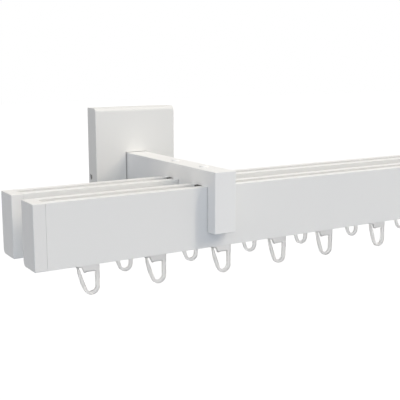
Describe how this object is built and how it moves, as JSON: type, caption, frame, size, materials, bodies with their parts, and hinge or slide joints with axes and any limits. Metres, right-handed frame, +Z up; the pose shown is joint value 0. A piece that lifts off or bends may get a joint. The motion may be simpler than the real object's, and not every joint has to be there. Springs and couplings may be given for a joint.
{
  "type": "double curtain track",
  "caption": "Double square-section curtain track on comb-shaped wall brackets with cover plates; gliders with tongue hooks slide in the channel under each rail.",
  "frame": {"origin": "on the wall, midway between the two brackets and level with the middle of their arms, which is the centre of the four wall screw holes", "axes": "+X along the rails to the right as seen from the room, +Y back into the wall, +Z up"},
  "size_m": [1.0136, 0.1205, 0.0946],
  "materials": {
    "painted_aluminium": "white powder coat, satin",
    "cap_plastic": "white moulded plastic, fine satin",
    "glider_plastic": "natural white moulded acetal",
    "zinc_steel": "bright zinc plate",
    "phosphated_steel": "phosphated, dull dark grey",
    "screw_steel": "plain hardened steel, oiled"
  },
  "bodies": {
    "root": {"front_rail": "painted_aluminium", "back_rail": "painted_aluminium", "front_rail_left_cap": "cap_plastic", "front_rail_right_cap": "cap_plastic", "back_rail_left_cap": "cap_plastic", "back_rail_right_cap": "cap_plastic", "left_arm": "painted_aluminium", "left_cover_plate": "painted_aluminium", "left_clamp_screws": "painted_aluminium", "left_wall_plate": "zinc_steel", "left_arm_screws": "zinc_steel", "left_slot_lugs": "phosphated_steel", "left_cover_screw": "screw_steel", "right_arm": "painted_aluminium", "right_cover_plate": "painted_aluminium", "right_clamp_screws": "painted_aluminium", "right_wall_plate": "zinc_steel", "right_arm_screws": "zinc_steel", "right_slot_lugs": "phosphated_steel", "right_cover_screw": "screw_steel"},
    "front_glider_01": {"front_glider_01": "glider_plastic"},
    "front_glider_02": {"front_glider_02": "glider_plastic"},
    "front_glider_03": {"front_glider_03": "glider_plastic"},
    "front_glider_04": {"front_glider_04": "glider_plastic"},
    "front_glider_05": {"front_glider_05": "glider_plastic"},
    "front_glider_06": {"front_glider_06": "glider_plastic"},
    "front_glider_07": {"front_glider_07": "glider_plastic"},
    "front_glider_08": {"front_glider_08": "glider_plastic"},
    "front_glider_09": {"front_glider_09": "glider_plastic"},
    "front_glider_10": {"front_glider_10": "glider_plastic"},
    "front_glider_11": {"front_glider_11": "glider_plastic"},
    "front_glider_12": {"front_glider_12": "glider_plastic"},
    "back_glider_01": {"back_glider_01": "glider_plastic"},
    "back_glider_02": {"back_glider_02": "glider_plastic"},
    "back_glider_03": {"back_glider_03": "glider_plastic"},
    "back_glider_04": {"back_glider_04": "glider_plastic"},
    "back_glider_05": {"back_glider_05": "glider_plastic"},
    "back_glider_06": {"back_glider_06": "glider_plastic"},
    "back_glider_07": {"back_glider_07": "glider_plastic"},
    "back_glider_08": {"back_glider_08": "glider_plastic"},
    "back_glider_09": {"back_glider_09": "glider_plastic"},
    "back_glider_10": {"back_glider_10": "glider_plastic"},
    "back_glider_11": {"back_glider_11": "glider_plastic"},
    "back_glider_12": {"back_glider_12": "glider_plastic"}
  },
  "joints": [
    {"name": "front_glider_01_slide", "type": "slide", "parent": "root", "child": "front_glider_01", "axis": [1, 0, 0], "range_m": [-0.022, 0.0272]},
    {"name": "front_glider_02_slide", "type": "slide", "parent": "root", "child": "front_glider_02", "axis": [1, 0, 0], "range_m": [-0.0272, 0.0301]},
    {"name": "front_glider_03_slide", "type": "slide", "parent": "root", "child": "front_glider_03", "axis": [1, 0, 0], "range_m": [-0.0301, 0.0274]},
    {"name": "front_glider_04_slide", "type": "slide", "parent": "root", "child": "front_glider_04", "axis": [1, 0, 0], "range_m": [-0.0274, 0.024]},
    {"name": "front_glider_05_slide", "type": "slide", "parent": "root", "child": "front_glider_05", "axis": [1, 0, 0], "range_m": [-0.024, 0.0323]},
    {"name": "front_glider_06_slide", "type": "slide", "parent": "root", "child": "front_glider_06", "axis": [1, 0, 0], "range_m": [-0.0323, 0.25865]},
    {"name": "front_glider_07_slide", "type": "slide", "parent": "root", "child": "front_glider_07", "axis": [1, 0, 0], "range_m": [-0.25515, 0.0323]},
    {"name": "front_glider_08_slide", "type": "slide", "parent": "root", "child": "front_glider_08", "axis": [1, 0, 0], "range_m": [-0.0323, 0.024]},
    {"name": "front_glider_09_slide", "type": "slide", "parent": "root", "child": "front_glider_09", "axis": [1, 0, 0], "range_m": [-0.024, 0.0274]},
    {"name": "front_glider_10_slide", "type": "slide", "parent": "root", "child": "front_glider_10", "axis": [1, 0, 0], "range_m": [-0.0274, 0.0301]},
    {"name": "front_glider_11_slide", "type": "slide", "parent": "root", "child": "front_glider_11", "axis": [1, 0, 0], "range_m": [-0.0301, 0.0272]},
    {"name": "front_glider_12_slide", "type": "slide", "parent": "root", "child": "front_glider_12", "axis": [1, 0, 0], "range_m": [-0.0272, 0.022]},
    {"name": "back_glider_01_slide", "type": "slide", "parent": "root", "child": "back_glider_01", "axis": [1, 0, 0], "range_m": [-0.0582, 0.0319]},
    {"name": "back_glider_02_slide", "type": "slide", "parent": "root", "child": "back_glider_02", "axis": [1, 0, 0], "range_m": [-0.0319, 0.0314]},
    {"name": "back_glider_03_slide", "type": "slide", "parent": "root", "child": "back_glider_03", "axis": [1, 0, 0], "range_m": [-0.0314, 0.029]},
    {"name": "back_glider_04_slide", "type": "slide", "parent": "root", "child": "back_glider_04", "axis": [1, 0, 0], "range_m": [-0.029, 0.0324]},
    {"name": "back_glider_05_slide", "type": "slide", "parent": "root", "child": "back_glider_05", "axis": [1, 0, 0], "range_m": [-0.0324, 0.0342]},
    {"name": "back_glider_06_slide", "type": "slide", "parent": "root", "child": "back_glider_06", "axis": [1, 0, 0], "range_m": [-0.0342, 0.20455]},
    {"name": "back_glider_07_slide", "type": "slide", "parent": "root", "child": "back_glider_07", "axis": [1, 0, 0], "range_m": [-0.20105, 0.0342]},
    {"name": "back_glider_08_slide", "type": "slide", "parent": "root", "child": "back_glider_08", "axis": [1, 0, 0], "range_m": [-0.0342, 0.0324]},
    {"name": "back_glider_09_slide", "type": "slide", "parent": "root", "child": "back_glider_09", "axis": [1, 0, 0], "range_m": [-0.0324, 0.029]},
    {"name": "back_glider_10_slide", "type": "slide", "parent": "root", "child": "back_glider_10", "axis": [1, 0, 0], "range_m": [-0.029, 0.0314]},
    {"name": "back_glider_11_slide", "type": "slide", "parent": "root", "child": "back_glider_11", "axis": [1, 0, 0], "range_m": [-0.0314, 0.0319]},
    {"name": "back_glider_12_slide", "type": "slide", "parent": "root", "child": "back_glider_12", "axis": [1, 0, 0], "range_m": [-0.0319, 0.0582]}
  ]
}
